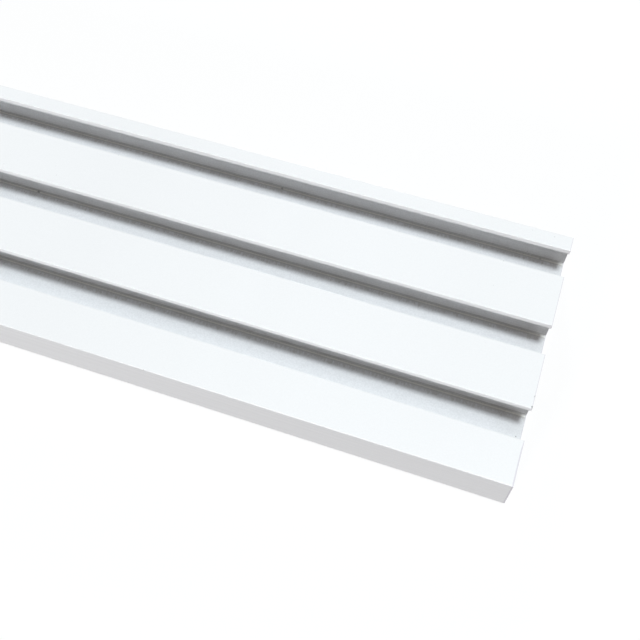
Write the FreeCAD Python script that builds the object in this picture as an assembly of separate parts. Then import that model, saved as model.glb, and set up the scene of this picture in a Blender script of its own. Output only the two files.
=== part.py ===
# Curtain track: one aluminium extrusion with parallel lipped channels for runners.
# It lies on its flat back, the side that goes against the ceiling, with its slots up.
# +X runs along the track, +Y from its wide front box to its back wall, +Z from the back to the faces.
# The origin is under the middle of the track. Sizes are in millimetres.

import FreeCAD, Part
import os

# Overall
track_length = 400.0
channel_count = 3

# Runner channel, seen from a cut end
slot_width = 6.1          # open mouth between the two lips
lip_reach = 2.25          # how far each lip stands in over the channel
channel_height = 6.05     # clear height under the lips

# Walls
lip_thickness = 1.3       # lips and the faces between the slots
base_thickness = 1.0      # flat back, which is also the floor of every channel
inner_wall = 1.0          # each side of a box between two channels
back_wall = 1.0
front_wall = 1.0

# Hollow boxes that part and stiffen the channels
middle_box_width = 4.55   # inside width, between two channels
front_box_width = 4.3     # inside width, in front of the first channel

# Edges
face_edge_radius = 0.15   # where a face turns into a slot or the back wall
front_edge_radius = 0.2   # where the front face turns down
lip_edge_radius = 0.3     # lower edge of each lip
foot_radius = 0.3         # inside corners of the channels
box_radius = 0.4          # inside corners of the hollow boxes
back_edge_radius = 0.2    # outer corners of the flat back
side_share = 0.45         # most of a short side that one rounded corner may take

# Worked out from the sizes above
channel_width = slot_width + 2 * lip_reach
channel_pitch = channel_width + 2 * inner_wall + middle_box_width
front_step = front_wall + front_box_width + inner_wall
track_width = front_step + (channel_count - 1) * channel_pitch + channel_width + back_wall
track_height = base_thickness + channel_height + lip_thickness
front_y = -track_width / 2
back_y = track_width / 2
box_top = base_thickness + channel_height


def rounded_wire(corners):
    """Closed outline across the track through square (y, z, radius) corners, each turned by an arc."""
    points = [FreeCAD.Vector(0, y, z) for y, z, _ in corners]
    turns = []
    for index, (_, _, radius) in enumerate(corners):
        corner = points[index]
        to_last = points[index - 1] - corner
        to_next = points[(index + 1) % len(points)] - corner
        radius = min(radius, side_share * min(to_last.Length, to_next.Length))
        to_last.normalize()
        to_next.normalize()
        centre = corner + (to_last + to_next) * radius
        middle = centre - (to_last + to_next).normalize() * radius
        turns.append((corner + to_last * radius, middle, corner + to_next * radius))
    edges = []
    for index, (start, middle, end) in enumerate(turns):
        next_start = turns[(index + 1) % len(turns)][0]
        edges.append(Part.Arc(start, middle, end).toShape())
        edges.append(Part.LineSegment(end, next_start).toShape())
    return Part.Wire(edges)


def channel_centre(number):
    """Y of a channel's middle, counted from the front."""
    return front_y + front_step + channel_width / 2 + number * channel_pitch


def channel_corners(number):
    """Outline of one channel, from its front lip down, round and up to its back lip."""
    centre = channel_centre(number)
    slot_front = centre - slot_width / 2
    slot_back = centre + slot_width / 2
    wall_front = centre - channel_width / 2
    wall_back = centre + channel_width / 2
    return [
        (slot_front, track_height, face_edge_radius),
        (slot_front, box_top, lip_edge_radius),
        (wall_front, box_top, foot_radius),
        (wall_front, base_thickness, foot_radius),
        (wall_back, base_thickness, foot_radius),
        (wall_back, box_top, foot_radius),
        (slot_back, box_top, lip_edge_radius),
        (slot_back, track_height, face_edge_radius),
    ]


def outer_wire():
    """The track's outside, which dips into every channel through its slot."""
    corners = [
        (front_y, 0, back_edge_radius),
        (front_y, track_height, front_edge_radius),
    ]
    for number in range(channel_count):
        corners += channel_corners(number)
    corners += [
        (back_y, track_height, face_edge_radius),
        (back_y, 0, back_edge_radius),
    ]
    return rounded_wire(corners)


def box_wire(low_y, high_y):
    """One hollow box, closed all round and open at the track's two ends."""
    return rounded_wire([
        (low_y, base_thickness, box_radius),
        (low_y, box_top, box_radius),
        (high_y, box_top, box_radius),
        (high_y, base_thickness, box_radius),
    ])


def box_wires():
    """The front box, and one box between each two channels."""
    front_low = front_y + front_wall
    wires = [box_wire(front_low, front_low + front_box_width)]
    for number in range(channel_count - 1):
        low_y = channel_centre(number) + channel_width / 2 + inner_wall
        wires.append(box_wire(low_y, low_y + middle_box_width))
    return wires


def make_track_profile():
    """The section, pushed through the die to its length and sawn square at both ends."""
    section = Part.makeFace([outer_wire()] + box_wires(), "Part::FaceMakerBullseye")
    section.translate(FreeCAD.Vector(-track_length / 2, 0, 0))
    return section.extrude(FreeCAD.Vector(track_length, 0, 0))


def main():
    os.makedirs("parts", exist_ok=True)
    track = make_track_profile()
    track.exportStep("parts/track_profile.step")
    print(f"track_profile {track.ShapeType} {track_length:g} x {track_width:g} x {track_height:g} mm, "
          f"section {track.Volume / track_length:.1f} mm2, valid {track.isValid()}")


main()
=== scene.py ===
"""Curtain track: a white-coated aluminium extrusion, lying on its flat back with its slots up."""

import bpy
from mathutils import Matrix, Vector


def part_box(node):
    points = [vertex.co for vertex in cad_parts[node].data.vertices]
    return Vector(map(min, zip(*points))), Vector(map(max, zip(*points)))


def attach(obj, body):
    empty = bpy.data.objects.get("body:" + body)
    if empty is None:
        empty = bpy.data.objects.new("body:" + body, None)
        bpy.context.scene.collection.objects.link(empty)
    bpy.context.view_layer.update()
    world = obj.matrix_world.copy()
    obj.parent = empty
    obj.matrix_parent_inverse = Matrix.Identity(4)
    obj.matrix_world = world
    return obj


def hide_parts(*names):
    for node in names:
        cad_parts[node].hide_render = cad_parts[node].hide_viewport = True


bl_info = {
    "name": "Curtain Track",
    "version": (1, 0, 0),
    "blender": (4, 5, 0),
    "location": "View3D > Sidebar > Curtain Track",
    "description": "Builds a coated curtain track with sawn ends, and the stage it lies on",
    "category": "Add Mesh",
}

import math

import bmesh
import bpy
from bpy.props import FloatProperty, FloatVectorProperty, IntProperty, PointerProperty

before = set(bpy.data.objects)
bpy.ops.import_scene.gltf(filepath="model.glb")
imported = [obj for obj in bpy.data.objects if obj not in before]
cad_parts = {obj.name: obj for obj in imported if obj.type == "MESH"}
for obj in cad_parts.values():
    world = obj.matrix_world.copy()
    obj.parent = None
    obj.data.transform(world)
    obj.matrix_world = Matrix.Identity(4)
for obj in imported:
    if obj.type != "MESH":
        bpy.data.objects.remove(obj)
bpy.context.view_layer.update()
track_low, track_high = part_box("track_profile")

MM = 0.001
FULL_FRAME = 36.0                # sensor width in mm that the lens is given for
SHARP_TURN = math.radians(40)    # an edge that turns by more than this stays sharp
COAT_SLOT, SAWN_SLOT = 0, 1      # the track's materials, in their order

# Textures
NOISE_MIDDLE = 0.5               # value that a noise varies about
RING_PITCH = 0.314               # metres between two rings of a wave texture of scale 1
STREAK_STRETCH = 0.4             # scale across the track, which draws the streaks out that way
DIE_STRETCH = 0.01               # scale along the track, which draws the die lines out that way
SPECKLE_RANGE = (0.2, 0.8)       # noise that gives no grain, and a full one
DIE_RANGE = (0.35, 0.65)         # noise that gives no die line, and a full one
FLECK_EDGE = (1.15, 0.75)        # distance over size, plus noise, where a knock starts and is full
BLADE_CENTRE = (0.0, 0.4, 0.9)   # from the saw blade's middle to the track's, in blade radii
SAW_GRAIN = 0.3                  # grain between the saw marks, over their pitch

# Softness of the masks' edges, as a share of the size that each follows
WALL_BLUR = 0.2                  # of the painted shade in the corner at a wall's foot
FOOT_SHADE_BLUR = 0.2                  # of the foot coat
STRIP_BLUR = 0.4                  # of the painted shade strip, and of the painted highlight line in it
CUT_BLUR = 0.1                   # of the chipped strip beside a saw cut
FLOOR_FADE = (1.5, 0.5)          # foot radii above a floor where its coat starts and is full

# Small knocks in the coat, as mm from the right-hand end, mm from the front wall, mm up,
# size in mm and depth of tone
FLECKS = (
    (79.6, 0.1, 8.05, 0.30, 0.5), (67.2, 0.1, 8.05, 0.28, 0.5), (65.6, 0.1, 8.20, 0.26, 0.4),
    (79.1, 0.0, 5.00, 0.16, 0.3), (77.0, 0.0, 4.00, 0.20, 0.2), (74.3, 1.0, 8.35, 0.14, 0.2),
    (11.4, 42.7, 8.30, 0.26, 0.35), (7.8, 51.4, 8.35, 0.24, 0.2), (3.5, 51.2, 8.35, 0.28, 0.3),
    (12.0, 36.8, 8.35, 0.18, 0.3), (10.5, 24.5, 8.35, 0.15, 0.2), (7.4, 51.2, 1.70, 0.24, 0.5),
    (0.9, 12.2, 1.00, 0.25, 0.8), (4.6, 50.8, 1.05, 0.50, 0.5), (58.8, 50.8, 1.05, 0.50, 0.7),
    (101.3, 36.1, 8.35, 0.20, 0.15), (100.1, 34.0, 8.35, 0.22, 0.3), (111.4, 33.2, 8.35, 0.24, 0.2),
    (90.7, 42.7, 8.30, 0.24, 0.4), (106.1, 33.7, 1.05, 0.60, 0.8), (0.0, 17.1, 8.35, 0.45, 0.6),
    (0.0, 14.9, 8.35, 0.50, 0.9),
)


class TrackSizes(bpy.types.PropertyGroup):
    """Sizes of the section; its overall width, height and length come from the frame."""
    channel_count: IntProperty(
        name="Channels", description="Runner channels side by side", default=3, min=1)
    slot_width: FloatProperty(
        name="Slot width", description="Open mouth between two lips", default=6.1 * MM,
        unit="LENGTH")
    lip_reach: FloatProperty(
        name="Lip reach", description="How far a lip stands in over its channel", default=2.25 * MM,
        unit="LENGTH")
    lip_thickness: FloatProperty(
        name="Lip thickness", description="Lips and slotted faces", default=1.3 * MM, unit="LENGTH")
    base_thickness: FloatProperty(
        name="Base thickness", description="Flat back under the channels", default=1.0 * MM,
        unit="LENGTH")
    wall: FloatProperty(
        name="Wall", description="Every upright wall", default=1.0 * MM, unit="LENGTH")
    front_box_width: FloatProperty(
        name="Front box", description="Inside width of the box at the front", default=4.3 * MM,
        unit="LENGTH")
    face_edge_radius: FloatProperty(
        name="Face edge", description="Rounding where a face turns down", default=0.15 * MM,
        unit="LENGTH")
    front_edge_radius: FloatProperty(
        name="Front edge", description="Rounding along the front wall", default=0.2 * MM,
        unit="LENGTH")
    lip_edge_radius: FloatProperty(
        name="Lip underside edge", description="Rounding under a lip", default=0.3 * MM,
        unit="LENGTH")
    foot_radius: FloatProperty(
        name="Channel corner", description="Inside corners of a channel", default=0.3 * MM,
        unit="LENGTH")
    box_radius: FloatProperty(
        name="Box corner", description="Inside corners of a hollow box", default=0.4 * MM,
        unit="LENGTH")
    back_edge_radius: FloatProperty(
        name="Back edge", description="Outer corners of the flat back", default=0.2 * MM,
        unit="LENGTH")
    corner_segments: IntProperty(
        name="Corner segments", description="Flats round each corner", default=6, min=1)
    length_cuts: IntProperty(
        name="Length cuts", description="Loops across the track", default=39, min=0)


class CoatLook(bpy.types.PropertyGroup):
    """Powder coat on the extrusion and bare metal where it was sawn."""
    coat: FloatVectorProperty(
        name="Coat", description="Cool white of the coat", subtype="COLOR", size=3,
        default=(0.876, 0.876, 0.882))
    floor_coat: FloatVectorProperty(
        name="Floor coat", description="Colour of the coat on the channel floors", subtype="COLOR",
        size=3, default=(0.866, 0.872, 0.890))
    # Painted shade: this darker colour covers the floor strip beside each wall, under the lip,
    # where the lips' shadow falls. The streaks fray its edge.
    shaded_coat: FloatVectorProperty(
        name="Shaded coat", description="Colour along the feet of the walls, where less powder lands",
        subtype="COLOR", size=3, default=(0.740, 0.737, 0.730))
    shaded_width: FloatProperty(
        name="Shaded width", description="How far the thin coat reaches from a wall",
        default=1.4 * MM, unit="LENGTH")
    shaded_fray: FloatProperty(
        name="Shaded fray", description="How far the streaks fray the thin coat's edge",
        default=3.0 * MM, unit="LENGTH")
    streak_size: FloatProperty(
        name="Streak size", description="Width of a streak, which runs across the track",
        default=0.45 * MM, unit="LENGTH")
    # Painted shade: an even darker colour in the corner right beside each wall's foot.
    foot_shade: FloatVectorProperty(
        name="Foot coat", description="Darker coat right beside a wall", subtype="COLOR", size=3,
        default=(0.68, 0.675, 0.665))
    foot_shade_width: FloatProperty(
        name="Foot width", description="How far that darker coat reaches", default=0.9 * MM,
        unit="LENGTH")
    # Painted highlight: a lighter line along each wall's foot, standing in for the light that a
    # fine bead there catches.
    foot_highlight: FloatVectorProperty(
        name="Foot line", description="Fine bead of thicker coat along the foot of a wall",
        subtype="COLOR", size=3, default=(0.88, 0.865, 0.82))
    foot_highlight_place: FloatProperty(
        name="Foot line place", description="From the wall to that bead", default=0.42 * MM,
        unit="LENGTH")
    foot_highlight_width: FloatProperty(
        name="Foot line width", description="Width of that bead", default=0.25 * MM, unit="LENGTH")
    coat_roughness: FloatProperty(
        name="Coat roughness", description="Satin gloss of the coat", default=0.28, min=0, max=1)
    coat_shine: FloatProperty(
        name="Coat shine", description="Strength of its reflections", default=0.2, min=0, max=1)
    peel_size: FloatProperty(
        name="Peel size", description="Length of the coat's gentle waves", default=1.6 * MM,
        unit="LENGTH")
    peel_depth: FloatProperty(
        name="Peel depth", description="Height of those waves", default=0.006 * MM, unit="LENGTH")
    grain_size: FloatProperty(
        name="Grain size", description="Size of a sprayed grain", default=0.28 * MM, unit="LENGTH")
    grain_depth: FloatProperty(
        name="Grain depth", description="Height of a sprayed grain", default=0.012 * MM,
        unit="LENGTH")
    grain_shade: FloatProperty(
        name="Grain shade", description="How much lightness the dark grains keep", default=0.9,
        min=0, max=1)
    grain_outside: FloatProperty(
        name="Grain outside", description="Share of that shade on the outer faces", default=0.3,
        min=0, max=1)
    die_line: FloatProperty(
        name="Die line", description="Size of the faint lines that the die left along the sides",
        default=0.7 * MM, unit="LENGTH")
    die_shade: FloatProperty(
        name="Die line shade", description="How much lightness those lines keep", default=0.965,
        min=0, max=1)
    cut_colour: FloatVectorProperty(
        name="Cut colour", description="Chipped coat beside the saw cut", subtype="COLOR", size=3,
        default=(0.70, 0.68, 0.72))
    cut_line: FloatProperty(
        name="Cut line", description="Strip beside the saw cut where the coat chipped off",
        default=0.10 * MM, unit="LENGTH")
    front_cut_line: FloatProperty(
        name="Front cut line", description="How much wider that strip is at the front box",
        default=0.15 * MM, unit="LENGTH")
    fleck: FloatProperty(
        name="Fleck", description="How much of the thin coat's lightness a full knock leaves",
        default=0.45, min=0, max=1)
    metal: FloatVectorProperty(
        name="Bare metal", description="Sawn aluminium", subtype="COLOR", size=3,
        default=(0.62, 0.60, 0.64))
    metal_roughness: FloatProperty(
        name="Metal roughness", description="Sawn aluminium", default=0.42, min=0, max=1)
    blade_radius: FloatProperty(
        name="Blade radius", description="Saw blade that left the arcs on the ends",
        default=150 * MM, unit="LENGTH")
    saw_pitch: FloatProperty(
        name="Saw mark pitch", description="Distance between two saw marks", default=0.55 * MM,
        unit="LENGTH")
    saw_depth: FloatProperty(
        name="Saw mark depth", description="Height between two saw marks", default=0.03 * MM,
        unit="LENGTH")
    saw_grain_depth: FloatProperty(
        name="Saw grain depth", description="Height of the grain on the sawn ends",
        default=0.01 * MM, unit="LENGTH")
    saw_shade: FloatProperty(
        name="Saw mark shade", description="How much lightness a saw mark keeps", default=0.8,
        min=0, max=1)


class StageLook(bpy.types.PropertyGroup):
    """Floor, lamps and camera."""
    floor_size: FloatProperty(
        name="Floor size", description="Side of the square floor", default=12.0, unit="LENGTH")
    floor_colour: FloatVectorProperty(
        name="Floor", description="Pale floor", subtype="COLOR", size=3, default=(0.95, 0.95, 0.95))
    floor_roughness: FloatProperty(
        name="Floor roughness", description="Matt surface of the floor", default=0.9, min=0, max=1)
    floor_bounce: FloatProperty(
        name="Floor bounce", description="Share of that colour in the light the floor throws back",
        default=0.06, min=0, max=1)
    floor_lift: FloatProperty(
        name="Floor lift", description="Share of plain white seen in the floor round the track",
        default=0.8, min=0, max=1)
    fade_start: FloatProperty(
        name="Fade start",
        description="From the track's middle to where the floor starts to fade to white",
        default=0.3, unit="LENGTH")
    fade_end: FloatProperty(
        name="Fade end", description="From the track's middle to where the floor is plain white",
        default=0.9, unit="LENGTH")
    fill: FloatProperty(
        name="Fill", description="Even light from all round", default=0.175, min=0)
    fill_colour: FloatVectorProperty(
        name="Fill colour", description="A little warm", subtype="COLOR", size=3,
        default=(1.0, 0.89, 0.80))
    key_power: FloatProperty(
        name="Key power", description="Softbox above the track", default=21.3, unit="POWER")
    key_colour: FloatVectorProperty(
        name="Key colour", description="The softboxes above the track", subtype="COLOR", size=3,
        default=(0.896, 0.967, 1.0))
    key_size: FloatProperty(
        name="Key size", description="Side of the softbox", default=0.32, unit="LENGTH")
    wide_power: FloatProperty(
        name="Wide power", description="Wide softbox behind the key", default=5.6, unit="POWER")
    wide_size: FloatProperty(
        name="Wide size", description="Side of that softbox", default=0.6, unit="LENGTH")
    wide_back: FloatProperty(
        name="Wide back", description="From the key to that softbox", default=0.42, unit="LENGTH")
    key_height: FloatProperty(
        name="Key height", description="Softbox above the floor", default=1.8, unit="LENGTH")
    key_lean: FloatProperty(
        name="Key lean", description="Tilt of the softbox's light towards the front",
        default=math.radians(2.3), subtype="ANGLE")
    key_past_end: FloatProperty(
        name="Key past end", description="Softbox beyond the right-hand end", default=0.21,
        unit="LENGTH")
    end_power: FloatProperty(
        name="End power",
        description="Softbox that looks into the open channels from beyond the end",
        default=1.7, unit="POWER")
    end_reach: FloatProperty(
        name="End reach", description="From the track's end to under that softbox", default=1.0,
        unit="LENGTH")
    front_power: FloatProperty(
        name="Front power", description="Low softbox in front of the track", default=2.46,
        unit="POWER")
    corner_power: FloatProperty(
        name="Corner power",
        description="The same at the front right, which looks in past the cut end",
        default=0.38, unit="POWER")
    corner_past_end: FloatProperty(
        name="Corner past end", description="That softbox beyond the right-hand end", default=0.14,
        unit="LENGTH")
    back_power: FloatProperty(
        name="Back power", description="The same behind the track", default=1.8, unit="POWER")
    low_colour: FloatVectorProperty(
        name="Low colour", description="The low softboxes", subtype="COLOR", size=3,
        default=(0.965, 0.975, 1.0))
    low_size: FloatProperty(
        name="Low size", description="Side of each low softbox", default=0.09, unit="LENGTH")
    low_reach: FloatProperty(
        name="Low reach", description="From the track's side to its low softbox", default=0.65,
        unit="LENGTH")
    low_rise: FloatProperty(
        name="Low rise", description="Angle of the low softboxes above the floor",
        default=math.radians(11.0), subtype="ANGLE")
    low_from_end: FloatProperty(
        name="Low from end", description="Front and back ones left of the right-hand end",
        default=0.17, unit="LENGTH")
    camera_from_end: FloatProperty(
        name="Camera from end", description="Left of the right-hand end", default=13.81 * MM,
        unit="LENGTH")
    camera_from_front: FloatProperty(
        name="Camera from front", description="In front of the front wall", default=56.3 * MM,
        unit="LENGTH")
    camera_height: FloatProperty(
        name="Camera height", description="Above the floor", default=145.7 * MM, unit="LENGTH")
    camera_tilt: FloatProperty(
        name="Camera tilt", description="Down from level", default=math.radians(59.76),
        subtype="ANGLE")
    camera_turn: FloatProperty(
        name="Camera turn", description="To the left of straight across the track",
        default=math.radians(18.909), subtype="ANGLE")
    lens: FloatProperty(
        name="Lens", description="Focal length on a full-frame sensor", default=49.77)


def channel_layout(sizes):
    """Y of the first channel's front side, the channels' width, and a pitch to fill the frame."""
    channel_width = sizes.slot_width + 2 * sizes.lip_reach
    first_wall = track_low.y + 2 * sizes.wall + sizes.front_box_width
    last_wall = track_high.y - sizes.wall - channel_width
    pitch = (last_wall - first_wall) / max(sizes.channel_count - 1, 1)
    return first_wall, channel_width, pitch


# Node helpers

def set_inputs(node, inputs):
    """Plain values set on a node's sockets; an underscore in a name stands for a space."""
    for name, value in inputs.items():
        node.inputs[name.replace("_", " ")].default_value = value


def add_node(tree, kind, **inputs):
    """A node of that kind, with plain values set on its sockets."""
    node = tree.nodes.new(kind)
    set_inputs(node, inputs)
    return node


def add_math(tree, operation, first, second=None, third=None):
    """A Math node on sockets or plain numbers, and its result."""
    node = tree.nodes.new("ShaderNodeMath")
    node.operation = operation
    for socket, value in zip(node.inputs, (first, second, third)):
        if isinstance(value, bpy.types.NodeSocket):
            tree.links.new(value, socket)
        elif value is not None:
            socket.default_value = value
    return node.outputs[0]


def add_ramp(tree, value, low, high):
    """A smooth mask: 0 at low and 1 at high."""
    node = tree.nodes.new("ShaderNodeMapRange")
    node.interpolation_type = "SMOOTHSTEP"
    node.inputs["From Min"].default_value = low
    node.inputs["From Max"].default_value = high
    tree.links.new(value, node.inputs["Value"])
    return node.outputs["Result"]


def band_mask(tree, value, low, high, blur):
    """1 where the value lies between low and high."""
    above = add_ramp(tree, value, low - blur, low + blur)
    below = add_ramp(tree, value, high + blur, high - blur)
    return add_math(tree, "MULTIPLY", above, below)


def add_mix(tree, factor, first, second, blend="MIX"):
    """A mix of two colours, sockets or plain ones, with that kind of blend."""
    node = tree.nodes.new("ShaderNodeMix")
    node.data_type = "RGBA"
    node.blend_type = blend
    tree.links.new(factor, node.inputs["Factor"])
    colour_inputs = [s for s in node.inputs if s.type == "RGBA"]
    for socket, value in zip(colour_inputs, (first, second)):
        if isinstance(value, bpy.types.NodeSocket):
            tree.links.new(value, socket)
        else:
            socket.default_value = (*value, 1.0)
    return next(s for s in node.outputs if s.type == "RGBA")


def add_shade(tree, factor, colour, keep):
    """The colour darkened to that share of itself where the factor is 1."""
    return add_mix(tree, factor, colour, (keep, keep, keep), "MULTIPLY")


def add_stretched_noise(tree, place, stretch, size, detail):
    """Noise of that size on object coordinates that are scaled by stretch."""
    mapping = add_node(tree, "ShaderNodeMapping", Scale=stretch)
    tree.links.new(place.outputs["Object"], mapping.inputs["Vector"])
    noise = add_node(tree, "ShaderNodeTexNoise", Scale=1.0 / size, Detail=detail)
    tree.links.new(mapping.outputs["Vector"], noise.inputs["Vector"])
    return noise.outputs["Fac"]


def add_bump(tree, height, shader):
    """The shader's surface raised by a height in metres."""
    bump = add_node(tree, "ShaderNodeBump", Strength=1.0, Distance=1.0)
    tree.links.new(height, bump.inputs["Height"])
    tree.links.new(bump.outputs["Normal"], shader.inputs["Normal"])


def new_material(name):
    """An empty node material with a Principled shader on its output."""
    material = bpy.data.materials.new(name)
    material.use_nodes = True
    tree = material.node_tree
    tree.nodes.clear()
    output = tree.nodes.new("ShaderNodeOutputMaterial")
    shader = tree.nodes.new("ShaderNodeBsdfPrincipled")
    tree.links.new(shader.outputs["BSDF"], output.inputs["Surface"])
    return material, tree, shader


def new_group(name, inputs, outputs):
    """A shader group with float inputs (name: default) and float outputs."""
    tree = bpy.data.node_groups.new(name, "ShaderNodeTree")
    kind = "NodeSocketFloat"
    for socket_name, default in inputs.items():
        socket = tree.interface.new_socket(socket_name, in_out="INPUT", socket_type=kind)
        socket.default_value = default
    for socket_name in outputs:
        tree.interface.new_socket(socket_name, in_out="OUTPUT", socket_type=kind)
    return tree, tree.nodes.new("NodeGroupInput"), tree.nodes.new("NodeGroupOutput")


def place_group(tree, group, **inputs):
    """That group as a node, with plain values set on its sockets."""
    node = add_node(tree, "ShaderNodeGroup")
    node.node_tree = group
    set_inputs(node, inputs)
    return node


# Groups that the finishes place

def grain_group():
    """Noise of a given size, as a height in metres and as a mask about one half."""
    tree, inputs, outputs = new_group("Grain", {"Size": MM, "Depth": MM, "Detail": 2.0},
                                      ["Height", "Mask"])
    place = add_node(tree, "ShaderNodeTexCoord")
    noise = add_node(tree, "ShaderNodeTexNoise", Roughness=0.5)
    tree.links.new(place.outputs["Object"], noise.inputs["Vector"])
    scale = add_math(tree, "DIVIDE", 1.0, inputs.outputs["Size"])
    tree.links.new(scale, noise.inputs["Scale"])
    tree.links.new(inputs.outputs["Detail"], noise.inputs["Detail"])
    height = add_math(tree, "MULTIPLY", noise.outputs["Fac"], inputs.outputs["Depth"])
    tree.links.new(height, outputs.inputs["Height"])
    tree.links.new(noise.outputs["Fac"], outputs.inputs["Mask"])
    return tree


def fleck_group():
    """Mask of one small mark about a point, with a ragged edge."""
    defaults = {"X": 0.0, "Y": 0.0, "Z": 0.0, "Size": MM, "Ragged": NOISE_MIDDLE}
    tree, inputs, outputs = new_group("Fleck", defaults, ["Mask"])
    place = add_node(tree, "ShaderNodeTexCoord")
    centre = add_node(tree, "ShaderNodeCombineXYZ")
    for axis in "XYZ":
        tree.links.new(inputs.outputs[axis], centre.inputs[axis])
    apart = add_node(tree, "ShaderNodeVectorMath")
    apart.operation = "DISTANCE"
    tree.links.new(place.outputs["Object"], apart.inputs[0])
    tree.links.new(centre.outputs["Vector"], apart.inputs[1])
    share = add_math(tree, "DIVIDE", apart.outputs["Value"], inputs.outputs["Size"])
    share = add_math(tree, "ADD", share, inputs.outputs["Ragged"])
    tree.links.new(add_ramp(tree, share, *FLECK_EDGE), outputs.inputs["Mask"])
    return tree


# Finishes

def cut_mask(tree, look, sizes, axes, noise):
    """The ragged strip beside each saw cut, which is wider at the front box."""
    first_wall = channel_layout(sizes)[0]
    from_middle = add_math(tree, "ABSOLUTE", axes.outputs["X"])
    ragged = add_math(tree, "MULTIPLY_ADD", noise, look.cut_line, from_middle)
    on_front = add_ramp(tree, axes.outputs["Y"], first_wall + sizes.lip_reach, first_wall)
    ragged = add_math(tree, "MULTIPLY_ADD", on_front, look.front_cut_line, ragged)
    edge = track_high.x - NOISE_MIDDLE * look.cut_line
    blur = CUT_BLUR * look.cut_line
    return add_ramp(tree, ragged, edge - blur, edge + blur)


def inside_mask(tree, sizes, axes):
    """1 in the channels and boxes, 0 on the track's outside and in the slots between the lips."""
    across = band_mask(tree, axes.outputs["Y"], track_low.y + sizes.wall / 2,
                       track_high.y - sizes.wall / 2, WALL_BLUR * sizes.wall)
    upright = band_mask(tree, axes.outputs["Z"], track_low.z + sizes.base_thickness / 2,
                        track_high.z - sizes.lip_thickness, WALL_BLUR * sizes.lip_thickness)
    return add_math(tree, "MULTIPLY", across, upright)


def floor_masks(tree, look, sizes, axes, place, inside):
    """The channel floors, and on them the masks of painted shade beside each wall and in the corner
    at its foot, and of a painted highlight line along the foot.
    """
    floor_z = track_low.z + sizes.base_thickness
    starts, full = (floor_z + share * sizes.foot_radius for share in FLOOR_FADE)
    low = add_ramp(tree, axes.outputs["Z"], starts, full)
    on_floor = add_math(tree, "MULTIPLY", inside, low)

    first_wall, channel_width, pitch = channel_layout(sizes)
    from_first = add_math(tree, "SUBTRACT", axes.outputs["Y"], first_wall + channel_width / 2)
    from_centre = add_math(tree, "PINGPONG", from_first, pitch / 2)
    from_wall = add_math(tree, "SUBTRACT", channel_width / 2, from_centre)
    # Painted shade: a strip beside each wall, with its edge frayed by streaks that run across the
    # track.
    stretch = (1.0, STREAK_STRETCH, 1.0)
    streaks = add_stretched_noise(tree, place, stretch, look.streak_size, detail=2.0)
    frayed = add_math(tree, "MULTIPLY_ADD", streaks, look.shaded_fray, from_wall)
    shaded_edge = look.shaded_width + NOISE_MIDDLE * look.shaded_fray
    shaded = add_ramp(tree, frayed, shaded_edge, shaded_edge - STRIP_BLUR * look.shaded_width)
    # Painted shade in the corner right at the wall's foot.
    foot = add_ramp(tree, from_wall, look.foot_shade_width, (1 - FOOT_SHADE_BLUR) * look.foot_shade_width)
    # Painted highlight: the bead mask is a lighter line along the foot.
    bead_low = look.foot_highlight_place - look.foot_highlight_width / 2
    bead_high = look.foot_highlight_place + look.foot_highlight_width / 2
    bead = band_mask(tree, from_wall, bead_low, bead_high, STRIP_BLUR * look.foot_highlight_width)
    return [on_floor] + [add_math(tree, "MULTIPLY", on_floor, mask) for mask in (shaded, foot, bead)]


def fleck_mask(tree, noise):
    """All the small knocks, each at its own depth of tone."""
    fleck = fleck_group()
    marked = 0.0
    for from_end, from_front, height, size, tone in FLECKS:
        spot = place_group(tree, fleck, X=track_high.x - from_end * MM,
                           Y=track_low.y + from_front * MM, Z=track_low.z + height * MM,
                           Size=size * MM)
        tree.links.new(noise, spot.inputs["Ragged"])
        toned = add_math(tree, "MULTIPLY", spot.outputs["Mask"], tone)
        marked = add_math(tree, "MAXIMUM", toned, marked)
    return marked


def coat_material(look, sizes, grain):
    """White powder coat: gentle peel, sprayed grain, painted shade and a painted highlight line
    along the walls' feet, chipped at each cut.
    """
    material, tree, shader = new_material("White powder coat")
    peel = place_group(tree, grain, Size=look.peel_size, Depth=look.peel_depth, Detail=1.0)
    fine = place_group(tree, grain, Size=look.grain_size, Depth=look.grain_depth, Detail=3.0)
    noise = fine.outputs["Mask"]
    add_bump(tree, add_math(tree, "ADD", peel.outputs["Height"], fine.outputs["Height"]), shader)

    place = add_node(tree, "ShaderNodeTexCoord")
    axes = add_node(tree, "ShaderNodeSeparateXYZ")
    tree.links.new(place.outputs["Object"], axes.inputs["Vector"])
    inside = inside_mask(tree, sizes, axes)
    on_floor, shaded, foot, bead = floor_masks(tree, look, sizes, axes, place, inside)
    coat = add_mix(tree, on_floor, look.coat, look.floor_coat)
    # Painted shade beside each wall and in the corner at its foot, and a painted highlight line
    # along the foot.
    for mask, colour in ((shaded, look.shaded_coat), (foot, look.foot_shade), (bead, look.foot_highlight)):
        coat = add_mix(tree, mask, coat, colour)

    speckle = add_ramp(tree, noise, *SPECKLE_RANGE)
    speckled = add_ramp(tree, inside, 0.0, 1.0)
    speckled.node.inputs["To Min"].default_value = look.grain_outside
    speckle = add_math(tree, "MULTIPLY", speckle, speckled)
    coat = add_shade(tree, speckle, coat, look.grain_shade)
    stretch = (DIE_STRETCH, 0.0, 1.0)
    die_lines = add_stretched_noise(tree, place, stretch, look.die_line, detail=3.0)
    coat = add_shade(tree, add_ramp(tree, die_lines, *DIE_RANGE), coat, look.die_shade)
    coat = add_mix(tree, cut_mask(tree, look, sizes, axes, noise), coat, look.cut_colour)
    knocked = [look.fleck * c for c in look.shaded_coat]
    coat = add_mix(tree, fleck_mask(tree, noise), coat, knocked)
    tree.links.new(coat, shader.inputs["Base Color"])
    shader.inputs["Roughness"].default_value = look.coat_roughness
    shader.inputs["Specular IOR Level"].default_value = look.coat_shine
    return material


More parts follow.
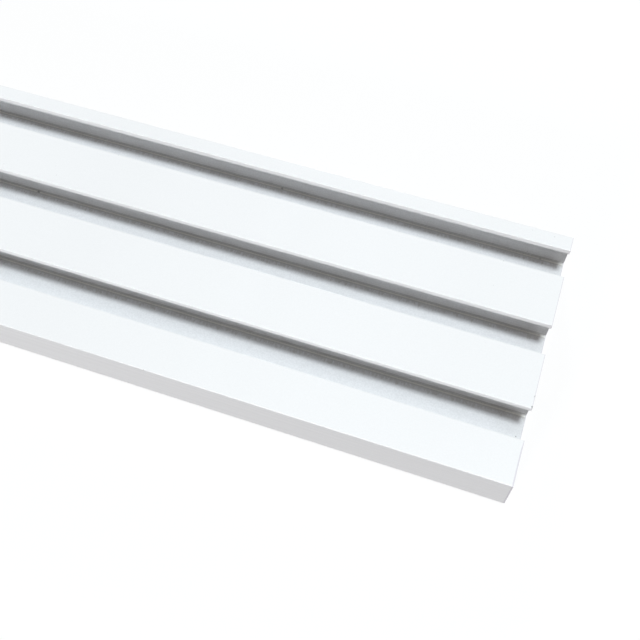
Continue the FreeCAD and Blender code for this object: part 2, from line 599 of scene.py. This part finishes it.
def sawn_material(look, grain):
    """Bare aluminium with the arcs that a saw blade leaves."""
    material, tree, shader = new_material("Sawn aluminium")
    place = add_node(tree, "ShaderNodeTexCoord")
    from_blade = [share * look.blade_radius for share in BLADE_CENTRE]
    turn = add_node(tree, "ShaderNodeMapping", Location=from_blade)
    tree.links.new(place.outputs["Object"], turn.inputs["Vector"])
    arcs = add_node(tree, "ShaderNodeTexWave", Distortion=2.5, Detail=2.0)
    arcs.wave_type = "RINGS"
    arcs.rings_direction = "X"
    arcs.inputs["Scale"].default_value = RING_PITCH / look.saw_pitch
    tree.links.new(turn.outputs["Vector"], arcs.inputs["Vector"])
    fine = place_group(tree, grain, Size=SAW_GRAIN * look.saw_pitch, Depth=look.saw_grain_depth,
                       Detail=3.0)
    height = add_math(tree, "MULTIPLY_ADD", arcs.outputs["Fac"], look.saw_depth,
                      fine.outputs["Height"])
    add_bump(tree, height, shader)
    dull = [look.saw_shade * c for c in look.metal]
    metal = add_mix(tree, arcs.outputs["Fac"], dull, look.metal)
    tree.links.new(metal, shader.inputs["Base Color"])
    shader.inputs["Metallic"].default_value = 1.0
    shader.inputs["Roughness"].default_value = look.metal_roughness
    return material


# The section

def section_outlines(sizes):
    """The outer outline and the hollow boxes, as lists of (y, z, radius) corners."""
    front_y, back_y = track_low.y, track_high.y
    back_z, face_z = track_low.z, track_high.z
    floor_z = back_z + sizes.base_thickness
    under_z = face_z - sizes.lip_thickness
    first_wall, channel_width, pitch = channel_layout(sizes)

    outside = [
        (front_y, back_z, sizes.back_edge_radius),
        (front_y, face_z, sizes.front_edge_radius),
    ]
    boxes = [(front_y + sizes.wall, front_y + sizes.wall + sizes.front_box_width)]
    for number in range(sizes.channel_count):
        wall_front = first_wall + number * pitch
        wall_back = wall_front + channel_width
        slot_front = wall_front + sizes.lip_reach
        slot_back = wall_back - sizes.lip_reach
        outside += [
            (slot_front, face_z, sizes.face_edge_radius),
            (slot_front, under_z, sizes.lip_edge_radius),
            (wall_front, under_z, sizes.foot_radius),
            (wall_front, floor_z, sizes.foot_radius),
            (wall_back, floor_z, sizes.foot_radius),
            (wall_back, under_z, sizes.foot_radius),
            (slot_back, under_z, sizes.lip_edge_radius),
            (slot_back, face_z, sizes.face_edge_radius),
        ]
        if number < sizes.channel_count - 1:
            boxes.append((wall_back + sizes.wall, wall_front + pitch - sizes.wall))
    outside += [
        (back_y, face_z, sizes.face_edge_radius),
        (back_y, back_z, sizes.back_edge_radius),
    ]
    hollows = [[(low, floor_z, sizes.box_radius), (low, under_z, sizes.box_radius),
                (high, under_z, sizes.box_radius), (high, floor_z, sizes.box_radius)]
               for low, high in boxes]
    return [outside] + hollows


def draw_outline(bm, corners, segments):
    """One closed outline at the left-hand end, with its corners rounded."""
    verts = [bm.verts.new((track_low.x, y, z)) for y, z, _ in corners]
    bm.faces.new(verts)
    for radius in sorted({corner[2] for corner in corners}):
        alike = [vert for vert, corner in zip(verts, corners) if corner[2] == radius]
        bmesh.ops.bevel(bm, geom=alike, offset=radius, offset_type="OFFSET", segments=segments,
                        profile=0.5, affect="VERTICES", material=-1)


def build_profile_mesh(sizes):
    """The section drawn, filled and drawn out to the track's length."""
    bm = bmesh.new()
    for corners in section_outlines(sizes):
        draw_outline(bm, corners, sizes.corner_segments)
    bmesh.ops.delete(bm, geom=bm.faces[:], context="FACES_ONLY")
    bmesh.ops.triangle_fill(bm, edges=bm.edges[:], use_beauty=True)
    drawn = bmesh.ops.extrude_face_region(bm, geom=bm.faces[:])["geom"]
    far_end = [item for item in drawn if isinstance(item, bmesh.types.BMVert)]
    bmesh.ops.translate(bm, verts=far_end, vec=(track_high.x - track_low.x, 0, 0))
    long_edges = [edge for edge in bm.edges if abs(edge.verts[0].co.x - edge.verts[1].co.x) > MM]
    bmesh.ops.subdivide_edges(bm, edges=long_edges, cuts=sizes.length_cuts)
    bmesh.ops.recalc_face_normals(bm, faces=bm.faces[:])
    open_edges = [edge for edge in bm.edges if not edge.is_manifold]
    if open_edges:
        raise RuntimeError(f"the track's skin is open at {len(open_edges)} edges")
    for face in bm.faces:
        face.smooth = True
        sawn = abs(face.normal.x) > math.cos(SHARP_TURN)
        face.material_index = SAWN_SLOT if sawn else COAT_SLOT
    mesh = bpy.data.meshes.new("coated_track")
    bm.to_mesh(mesh)
    bm.free()
    mesh.set_sharp_from_angle(angle=SHARP_TURN)
    return mesh


class TRACK_OT_profile(bpy.types.Operator):
    """Build the coated extrusion with its sawn ends"""
    bl_idname = "curtain_track.profile"
    bl_label = "Coated track"

    def execute(self, context):
        sizes = context.scene.track_sizes
        look = context.scene.coat_look
        mesh = build_profile_mesh(sizes)
        grain = grain_group()
        mesh.materials.append(coat_material(look, sizes, grain))
        mesh.materials.append(sawn_material(look, grain))
        track = bpy.data.objects.new("coated_track", mesh)
        context.scene.collection.objects.link(track)
        flats = track.modifiers.new("Flat faces", "WEIGHTED_NORMAL")
        flats.keep_sharp = True
        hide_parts("track_profile")
        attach(track, "root")
        return {"FINISHED"}


# The stage

def seen_rays(tree):
    """1 for what is seen, straight, in a reflection or through glass; 0 for the light thrown."""
    path = add_node(tree, "ShaderNodeLightPath")
    seen = add_math(tree, "MAXIMUM", path.outputs["Is Camera Ray"], path.outputs["Is Glossy Ray"])
    return add_math(tree, "MAXIMUM", seen, path.outputs["Is Transmission Ray"])


def floor_material(look):
    """Pale floor that keeps the track's shadow, seen lifted towards white and all white far off."""
    material, tree, shader = new_material("Pale floor")
    shader.inputs["Roughness"].default_value = look.floor_roughness
    shader.inputs["Specular IOR Level"].default_value = 0.0
    white = add_node(tree, "ShaderNodeEmission", Strength=1.0)
    seen = seen_rays(tree)
    bounce = [look.floor_bounce * c for c in look.floor_colour]
    tree.links.new(add_mix(tree, seen, bounce, look.floor_colour), shader.inputs["Base Color"])
    place = add_node(tree, "ShaderNodeTexCoord")
    far = add_node(tree, "ShaderNodeVectorMath")
    far.operation = "LENGTH"
    tree.links.new(place.outputs["Object"], far.inputs[0])
    fade = add_ramp(tree, far.outputs["Value"], look.fade_start, look.fade_end)
    fade.node.inputs["To Min"].default_value = look.floor_lift
    lift = add_math(tree, "MULTIPLY", seen, fade)
    mix = tree.nodes.new("ShaderNodeMixShader")
    tree.links.new(lift, mix.inputs["Fac"])
    tree.links.new(shader.outputs["BSDF"], mix.inputs[1])
    tree.links.new(white.outputs["Emission"], mix.inputs[2])
    output = next(n for n in tree.nodes if n.type == "OUTPUT_MATERIAL")
    tree.links.new(mix.outputs["Shader"], output.inputs["Surface"])
    return material


def build_floor(look):
    """The square floor that the track lies on."""
    bm = bmesh.new()
    bmesh.ops.create_grid(bm, x_segments=1, y_segments=1, size=look.floor_size / 2)
    mesh = bpy.data.meshes.new("floor")
    bm.to_mesh(mesh)
    bm.free()
    mesh.materials.append(floor_material(look))
    floor = bpy.data.objects.new("floor", mesh)
    bpy.context.scene.collection.objects.link(floor)


def build_world(look):
    """Even fill light, seen as white by the camera and in reflections."""
    world = bpy.data.worlds.new("Studio")
    bpy.context.scene.world = world
    world.use_nodes = True
    tree = world.node_tree
    tree.nodes.clear()
    fill = add_node(tree, "ShaderNodeBackground", Strength=look.fill)
    white = add_node(tree, "ShaderNodeBackground", Strength=1.0)
    fill.inputs["Color"].default_value = (*look.fill_colour, 1.0)
    white.inputs["Color"].default_value = (1.0, 1.0, 1.0, 1.0)
    mix = tree.nodes.new("ShaderNodeMixShader")
    output = tree.nodes.new("ShaderNodeOutputWorld")
    tree.links.new(seen_rays(tree), mix.inputs["Fac"])
    tree.links.new(fill.outputs["Background"], mix.inputs[1])
    tree.links.new(white.outputs["Background"], mix.inputs[2])
    tree.links.new(mix.outputs["Shader"], output.inputs["Surface"])


def build_softbox(name, power, colour, size, place, turn):
    """A square softbox that only its light shows."""
    lamp = bpy.data.lights.new(name, "AREA")
    lamp.shape = "SQUARE"
    lamp.size = size
    lamp.energy = power
    lamp.color = colour
    softbox = bpy.data.objects.new(name, lamp)
    softbox.location = place
    softbox.rotation_euler = turn
    softbox.visible_camera = False
    bpy.context.scene.collection.objects.link(softbox)


def build_lamps(look):
    """A key above the track, others behind it and past the end, and low ones for upright sides."""
    key_place = (track_high.x + look.key_past_end, -look.key_height * math.tan(look.key_lean),
                 look.key_height)
    key_turn = (-look.key_lean, 0.0, 0.0)
    build_softbox("key", look.key_power, look.key_colour, look.key_size, key_place, key_turn)
    wide_place = (key_place[0], key_place[1] + look.wide_back, key_place[2])
    wide_turn = (0.0, 0.0, 0.0)
    build_softbox("wide", look.wide_power, look.key_colour, look.wide_size, wide_place, wide_turn)
    end_place = (track_high.x + look.end_reach, key_place[1], key_place[2])
    end_turn = (0.0, math.atan2(look.end_reach, look.key_height), 0.0)
    build_softbox("end", look.end_power, look.key_colour, look.key_size, end_place, end_turn)
    low_height = track_high.z + look.low_reach * math.tan(look.low_rise)
    for name, power, side, past_end in (("front", look.front_power, -1, -look.low_from_end),
                                        ("corner", look.corner_power, -1, look.corner_past_end),
                                        ("back", look.back_power, 1, -look.low_from_end)):
        place = (track_high.x + past_end, side * (track_high.y + look.low_reach), low_height)
        turn = (-side * (math.pi / 2 - look.low_rise), 0.0, 0.0)
        build_softbox(name, power, look.low_colour, look.low_size, place, turn)


def build_camera(look):
    """The photograph's view of the right-hand end."""
    data = bpy.data.cameras.new("camera")
    data.sensor_width = FULL_FRAME
    data.lens = look.lens
    data.clip_start = 1 * MM
    camera = bpy.data.objects.new("camera", data)
    camera.location = (track_high.x - look.camera_from_end, track_low.y - look.camera_from_front,
                       track_low.z + look.camera_height)
    camera.rotation_euler = (math.pi / 2 - look.camera_tilt, 0.0, look.camera_turn)
    bpy.context.scene.collection.objects.link(camera)
    bpy.context.scene.camera = camera


class TRACK_OT_stage(bpy.types.Operator):
    """Build the floor, the lights and the camera"""
    bl_idname = "curtain_track.stage"
    bl_label = "Stage"

    def execute(self, context):
        look = context.scene.stage_look
        context.scene.view_settings.view_transform = "Standard"
        build_floor(look)
        build_world(look)
        build_lamps(look)
        build_camera(look)
        return {"FINISHED"}


class TRACK_PT_panel(bpy.types.Panel):
    """Lists the steps that build the track"""
    bl_idname = "TRACK_PT_panel"
    bl_label = "Curtain Track"
    bl_space_type = "VIEW_3D"
    bl_region_type = "UI"
    bl_category = "Curtain Track"

    def draw(self, context):
        for step in STEPS:
            self.layout.operator(step.bl_idname)
        for group in GROUPS:
            box = self.layout.box()
            owner = getattr(context.scene, group)
            for name in owner.bl_rna.properties.keys():
                if name not in ("name", "rna_type"):
                    box.prop(owner, name)


STEPS = (TRACK_OT_profile, TRACK_OT_stage)
GROUPS = {"track_sizes": TrackSizes, "coat_look": CoatLook, "stage_look": StageLook}
CLASSES = (*GROUPS.values(), *STEPS, TRACK_PT_panel)


def register():
    """Add the classes, and their settings to every scene."""
    for cls in CLASSES:
        bpy.utils.register_class(cls)
    for name, group in GROUPS.items():
        setattr(bpy.types.Scene, name, PointerProperty(type=group))


def unregister():
    """Take the settings and the classes away again."""
    for name in GROUPS:
        delattr(bpy.types.Scene, name)
    for cls in reversed(CLASSES):
        bpy.utils.unregister_class(cls)


def main():
    """Build the track and its stage."""
    register()
    bpy.ops.curtain_track.profile()
    bpy.ops.curtain_track.stage()


if __name__ == "__main__":
    main()
